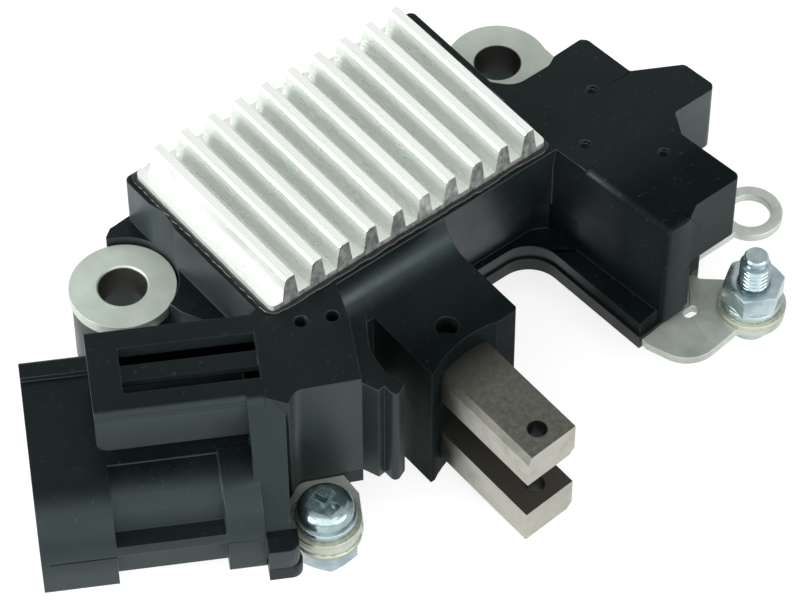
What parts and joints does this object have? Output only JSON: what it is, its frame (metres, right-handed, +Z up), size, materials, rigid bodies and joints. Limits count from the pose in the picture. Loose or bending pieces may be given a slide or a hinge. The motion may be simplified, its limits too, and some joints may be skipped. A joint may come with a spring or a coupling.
{
  "type": "alternator voltage regulator",
  "caption": "Alternator voltage regulator with finned heat sink, plug housing, fixing ears and sprung carbon brushes.",
  "frame": {"origin": "midway between the two fixing ears' bore axes, on the steel ears' top faces", "axes": "+X from the plug side to the arm side, +Y away from the brushes, +Z up along the ear bores and the heat sink's fins"},
  "size_m": [0.1102, 0.0611, 0.0308],
  "materials": {
    "black_plastic": "satin",
    "cast_aluminium": "cast",
    "sealant": "gloss",
    "plated_steel": "satin",
    "zinc_steel": "satin",
    "tinned_brass": "satin",
    "carbon": "matte",
    "spring_steel": "satin",
    "copper_lead": "satin",
    "ceramic": "matte",
    "silicon": "gloss",
    "gel": "gloss"
  },
  "bodies": {
    "holder": {"housing": "black_plastic", "base_layer": "black_plastic", "heat_sink": "cast_aluminium", "sealant_bead": "sealant", "circuit_substrate": "ceramic", "control_chip": "silicon", "output_transistor": "silicon", "potting_gel": "gel", "upper_brush_spring": "spring_steel", "lower_brush_spring": "spring_steel", "upper_brush_lead": "copper_lead", "lower_brush_lead": "copper_lead", "upper_brush_contact": "tinned_brass", "lower_brush_contact": "tinned_brass", "connector_blades": "tinned_brass", "left_ear_bush": "plated_steel", "right_ear_plate": "plated_steel", "screw_terminal_plate": "plated_steel", "stud_terminal_plate": "plated_steel", "ring_terminal": "plated_steel", "terminal_screw": "zinc_steel", "screw_plain_washer": "zinc_steel", "screw_spring_washer": "zinc_steel", "screw_back_washer": "zinc_steel", "screw_nut": "zinc_steel", "terminal_stud": "zinc_steel", "stud_plain_washer": "zinc_steel", "stud_spring_washer": "zinc_steel", "stud_nut": "zinc_steel"},
    "upper_brush": {"upper_brush": "carbon"},
    "lower_brush": {"lower_brush": "carbon"}
  },
  "joints": [
    {"name": "upper_brush_slide", "type": "slide", "parent": "holder", "child": "upper_brush", "axis": [0, 1, 0], "range_m": [0, 0.0172], "stiffness_N_per_m": 100, "springref_m": -0.02, "deforming": ["upper_brush_spring", "upper_brush_lead"]},
    {"name": "lower_brush_slide", "type": "slide", "parent": "holder", "child": "lower_brush", "axis": [0, 1, 0], "range_m": [0, 0.0172], "stiffness_N_per_m": 100, "springref_m": -0.02, "deforming": ["lower_brush_spring", "lower_brush_lead"]}
  ]
}
